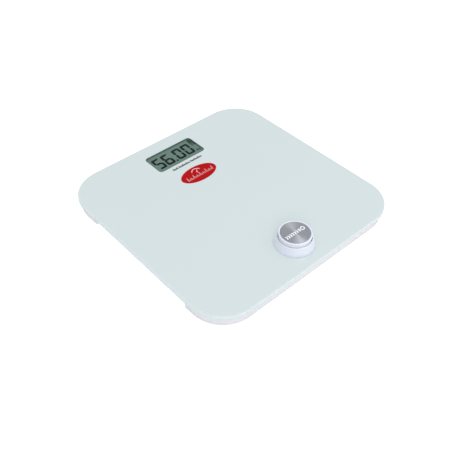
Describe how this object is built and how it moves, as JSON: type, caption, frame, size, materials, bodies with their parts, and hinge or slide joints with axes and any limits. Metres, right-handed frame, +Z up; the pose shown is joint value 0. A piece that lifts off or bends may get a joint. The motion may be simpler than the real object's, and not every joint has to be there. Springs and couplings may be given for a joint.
{
  "type": "body scale",
  "caption": "Square glass-topped digital floor scale with a recessed display, finger recesses, sprung feet and a press knob that drives a small generator.",
  "frame": {"origin": "on the floor under the middle of the platform, level with the underside of the foot pads", "axes": "+Z up, +Y from the knob towards the display, +X to the right of a person reading the display"},
  "size_m": [0.3, 0.3, 0.038],
  "materials": {
    "platform_glass": "back-painted pale aqua, polished ground edge",
    "tape": "closed-cell foam",
    "tray_plastic": "fine satin white",
    "label": "blank film",
    "board": "solder mask",
    "black_resin": "epoxy blob",
    "black_plastic": "moulded",
    "capacitor_sleeve": "shrink sleeve",
    "plated_steel": "bright plated",
    "stamped_steel": "stamped",
    "spring_steel": "drawn wire",
    "lcd": "grey-green display glass",
    "conductive_rubber": "striped strip",
    "knob_plastic": "gloss white",
    "spun_metal": "radially brushed",
    "copper": "enamelled wire",
    "cable_sleeve": "soft sleeve",
    "gear_plastic": "acetal",
    "magnet": "sintered",
    "foot_rubber": "matt pale grey"
  },
  "bodies": {
    "base": {"glass_platform": "platform_glass", "bonding_tape": "tape", "base_tray": "tray_plastic", "rating_label": "label", "main_board": "board", "processor_blob": "black_resin", "rectifier": "black_plastic", "reservoir_capacitor": "capacitor_sleeve", "tact_switch": "black_plastic", "board_screw_left": "plated_steel", "board_screw_right": "plated_steel", "lcd_panel": "lcd", "display_frame": "black_plastic", "zebra_strip": "conductive_rubber", "knob_collar": "knob_plastic", "collar_seal": "tape", "collar_screw_1": "plated_steel", "collar_screw_2": "plated_steel", "collar_screw_3": "plated_steel", "gear_frame_left": "tray_plastic", "gear_frame_right": "tray_plastic", "frame_screw_1": "plated_steel", "frame_screw_2": "plated_steel", "first_axle": "plated_steel", "second_axle": "plated_steel", "stator_coil": "copper", "stator_can": "stamped_steel", "generator_cable": "cable_sleeve", "return_spring": "spring_steel", "cell_holder_front_left": "tray_plastic", "load_cell_front_left": "stamped_steel", "cell_cable_front_left": "cable_sleeve", "cell_holder_front_right": "tray_plastic", "load_cell_front_right": "stamped_steel", "cell_cable_front_right": "cable_sleeve", "cell_holder_back_left": "tray_plastic", "load_cell_back_left": "stamped_steel", "cell_cable_back_left": "cable_sleeve", "cell_holder_back_right": "tray_plastic", "load_cell_back_right": "stamped_steel", "cell_cable_back_right": "cable_sleeve"},
    "knob": {"knob_cap": "knob_plastic", "knob_disc": "spun_metal", "knob_rack": "gear_plastic"},
    "first_wheel": {"first_gear": "gear_plastic"},
    "second_wheel": {"second_gear": "gear_plastic"},
    "rotor": {"rotor_shaft": "plated_steel", "rotor_magnet": "magnet"},
    "front_left_foot": {"foot_front_left": "tray_plastic", "foot_pad_front_left": "foot_rubber"},
    "front_right_foot": {"foot_front_right": "tray_plastic", "foot_pad_front_right": "foot_rubber"},
    "back_left_foot": {"foot_back_left": "tray_plastic", "foot_pad_back_left": "foot_rubber"},
    "back_right_foot": {"foot_back_right": "tray_plastic", "foot_pad_back_right": "foot_rubber"},
    "unit_switch": {"unit_button": "tray_plastic"}
  },
  "joints": [
    {"name": "knob_press", "type": "slide", "parent": "base", "child": "knob", "axis": [0, 0, -1], "range_m": [0, 0.006], "stiffness_N_per_m": 2500, "springref_m": -0.0004, "deforming": ["return_spring"]},
    {"name": "first_gear_spin", "type": "hinge", "parent": "base", "child": "first_wheel", "pos_m": [0, -0.1156, 0.0172], "axis": [1, 0, 0], "range_deg": [0, 114.7]},
    {"name": "second_gear_spin", "type": "hinge", "parent": "base", "child": "second_wheel", "pos_m": [0, -0.1057, 0.0137], "axis": [1, 0, 0], "range_deg": [-366.9, 0]},
    {"name": "rotor_spin", "type": "hinge", "parent": "base", "child": "rotor", "pos_m": [0, -0.0967, 0.01069], "axis": [1, 0, 0], "range_deg": [0, 1027.2]},
    {"name": "front_left_foot_give", "type": "slide", "parent": "base", "child": "front_left_foot", "axis": [0, 0, 1], "range_m": [0, 0.0004], "stiffness_N_per_m": 3000},
    {"name": "front_right_foot_give", "type": "slide", "parent": "base", "child": "front_right_foot", "axis": [0, 0, 1], "range_m": [0, 0.0004], "stiffness_N_per_m": 3000},
    {"name": "back_left_foot_give", "type": "slide", "parent": "base", "child": "back_left_foot", "axis": [0, 0, 1], "range_m": [0, 0.0004], "stiffness_N_per_m": 3000},
    {"name": "back_right_foot_give", "type": "slide", "parent": "base", "child": "back_right_foot", "axis": [0, 0, 1], "range_m": [0, 0.0004], "stiffness_N_per_m": 3000},
    {"name": "unit_button_press", "type": "slide", "parent": "base", "child": "unit_switch", "axis": [0, 0, 1], "range_m": [0, 0.0008], "stiffness_N_per_m": 100}
  ],
  "couplings": [
    {"joint": "first_gear_spin", "follows": "knob_press", "rad_per_m": 333.33},
    {"joint": "second_gear_spin", "follows": "knob_press", "rad_per_m": -1066.7},
    {"joint": "rotor_spin", "follows": "knob_press", "rad_per_m": 2986.7}
  ]
}
